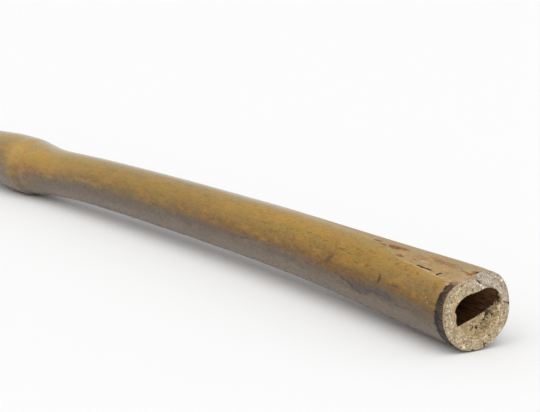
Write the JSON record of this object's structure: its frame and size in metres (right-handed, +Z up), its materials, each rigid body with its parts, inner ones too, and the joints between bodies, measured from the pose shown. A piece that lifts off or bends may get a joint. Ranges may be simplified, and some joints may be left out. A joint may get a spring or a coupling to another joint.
{
  "type": "bamboo cane",
  "caption": "Natural bamboo cane lying on its side: a hollow, gently bowed culm with a swollen node and plain sawn ends.",
  "frame": {"origin": "under the middle of the cane's box, on the surface that the cane lies on", "axes": "+X along the cane towards its thicker sawn end, whose mouth is half closed by a web; +Y to the side that the cane bows towards; +Z up"},
  "size_m": [0.6018, 0.0318, 0.0252],
  "materials": {
    "bamboo": "satin"
  },
  "bodies": {
    "root": {"cane": "bamboo"}
  },
  "joints": []
}
